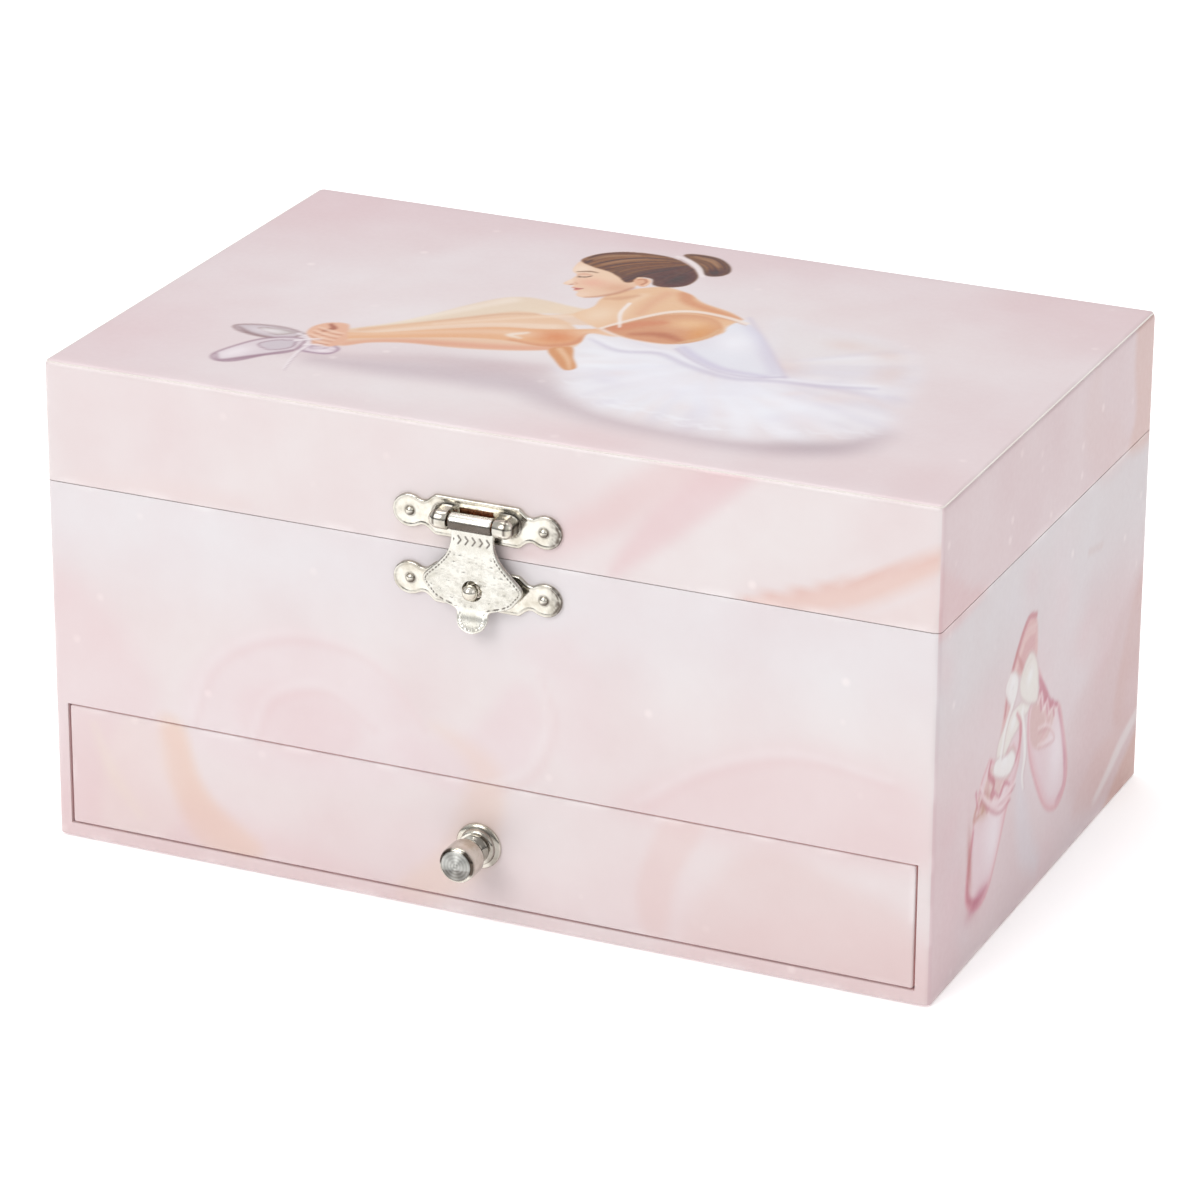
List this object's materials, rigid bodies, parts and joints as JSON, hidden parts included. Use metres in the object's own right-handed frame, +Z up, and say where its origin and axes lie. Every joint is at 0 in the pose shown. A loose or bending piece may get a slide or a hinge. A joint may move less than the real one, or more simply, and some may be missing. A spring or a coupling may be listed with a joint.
{
  "type": "musical jewellery box",
  "caption": "Hinged musical jewellery box with a front drawer, a hasp, a fitted velvet tray and a spring-mounted dancer turned by a wind-up movement.",
  "frame": {"origin": "centre of the underside, on the surface the box stands on", "axes": "+X to the box's right as seen from the front, -Y towards the front with the drawer and hasp, +Z up"},
  "size_m": [0.19, 0.1481, 0.103],
  "materials": {
    "case_board": "printed paper over grey board",
    "printed_paper": "satin printed paper",
    "velvet": "short pile velvet",
    "nickel": "nickel plated",
    "steel": "polished steel",
    "brass": "machined brass",
    "mirror": "silvered glass",
    "white_plastic": "moulded",
    "doll_plastic": "painted doll plastic",
    "tulle": "gathered tulle"
  },
  "bodies": {
    "case": {"base_cover": "printed_paper", "floor_board": "case_board", "left_board": "case_board", "right_board": "case_board", "back_board": "case_board", "front_board": "case_board", "shelf_board": "case_board", "body_wrap": "printed_paper", "compartment_liner": "velvet", "divider_long": "velvet", "dividers_short": "velvet", "ring_rolls": "velvet", "housing_walls": "case_board", "stage_deck": "case_board", "hasp_keeper_plate": "nickel", "hasp_stud": "nickel", "case_fixings": "nickel", "hinge_body_leaves": "nickel", "hinge_pins": "nickel", "key_escutcheon": "nickel", "stay_box_pin": "nickel", "bedplate": "brass", "bedplate_screws": "steel", "train_bearings": "brass", "tone_comb": "steel", "comb_block": "brass", "governor_bracket": "brass", "spindle_bush": "brass"},
    "lid": {"lid_top_board": "case_board", "lid_rails": "case_board", "lid_wrap": "printed_paper", "lid_liner": "velvet", "mirror_glass": "mirror", "mirror_bezel": "nickel", "hasp_hinge_plate": "nickel", "hasp_pin": "brass", "lid_fixings": "nickel", "hinge_lid_leaves": "nickel", "stay_lid_pin": "nickel"},
    "hasp": {"hasp_flap": "nickel"},
    "stay": {"stay_arm": "nickel"},
    "drawer": {"drawer_front": "case_board", "drawer_tray": "case_board", "drawer_liner": "velvet", "knob": "nickel", "knob_rose": "nickel", "knob_screw": "steel"},
    "key": {"winding_key": "nickel", "winding_arbor": "steel"},
    "barrel": {"spring_barrel": "brass", "mainspring": "steel"},
    "cylinder": {"pinned_cylinder": "brass", "cylinder_arbor": "steel"},
    "second": {"second_arbor": "steel"},
    "governor": {"worm_and_fly": "white_plastic"},
    "spindle": {"dancer_spindle": "steel"},
    "carrier": {"dancer_spring": "steel"},
    "dancer": {"dancer_figure": "doll_plastic", "tutu": "tulle"},
    "stop": {"stop_rod": "steel"}
  },
  "joints": [
    {"name": "lid_hinge", "type": "hinge", "parent": "case", "child": "lid", "pos_m": [0, 0.0619, 0.07765], "axis": [-1, 0, 0], "range_deg": [0, 95]},
    {"name": "stay_pivot", "type": "hinge", "parent": "lid", "child": "stay", "pos_m": [-0.0908, 0.0379, 0.08455], "axis": [-1, 0, 0], "range_deg": [-48, 0]},
    {"name": "hasp_hinge", "type": "hinge", "parent": "lid", "child": "hasp", "pos_m": [0, -0.0633, 0.0849], "axis": [-1, 0, 0], "range_deg": [0, 110]},
    {"name": "drawer_slide", "type": "slide", "parent": "case", "child": "drawer", "axis": [0, -1, 0], "range_m": [0, 0.085]},
    {"name": "barrel_spin", "type": "hinge", "parent": "case", "child": "barrel", "pos_m": [0, 0.05065, 0.059], "axis": [0, 1, 0], "continuous": true},
    {"name": "cylinder_spin", "type": "hinge", "parent": "case", "child": "cylinder", "pos_m": [0.023, 0.04368, 0.059], "axis": [1, 0, 0], "continuous": true},
    {"name": "second_spin", "type": "hinge", "parent": "case", "child": "second", "pos_m": [0.037, 0.04368, 0.053], "axis": [1, 0, 0], "continuous": true},
    {"name": "governor_spin", "type": "hinge", "parent": "case", "child": "governor", "pos_m": [0.0377, 0.0405, 0.0483], "axis": [0, 1, 0], "continuous": true},
    {"name": "spindle_spin", "type": "hinge", "parent": "case", "child": "spindle", "pos_m": [0, 0.04368, 0.07], "axis": [0, 0, 1], "continuous": true},
    {"name": "key_turn", "type": "hinge", "parent": "case", "child": "key", "pos_m": [0, 0.066, 0.059], "axis": [0, -1, 0], "range_deg": [0, 1440]},
    {"name": "dancer_bend", "type": "hinge", "parent": "case", "child": "carrier", "pos_m": [0, 0.04304, 0.07786], "axis": [-1, 0, 0], "range_deg": [0, 90], "deforming": ["dancer_spring"]},
    {"name": "dancer_spin", "type": "hinge", "parent": "carrier", "child": "dancer", "pos_m": [0, 0.02, 0.0785], "axis": [0, -1, 0], "continuous": true},
    {"name": "stop_rod_lift", "type": "slide", "parent": "case", "child": "stop", "axis": [0, 0, 1], "range_m": [0, 0.004]}
  ],
  "couplings": [
    {"joint": "stay_pivot", "follows": "lid_hinge", "ratio": -0.5},
    {"joint": "dancer_bend", "follows": "lid_hinge", "ratio": 0.94737},
    {"joint": "stop_rod_lift", "follows": "lid_hinge", "m_per_rad": 0.0024},
    {"joint": "cylinder_spin", "follows": "barrel_spin", "ratio": -4},
    {"joint": "second_spin", "follows": "barrel_spin", "ratio": 12},
    {"joint": "governor_spin", "follows": "barrel_spin", "ratio": -192},
    {"joint": "spindle_spin", "follows": "barrel_spin", "ratio": -4},
    {"joint": "dancer_spin", "follows": "barrel_spin", "ratio": -4}
  ]
}
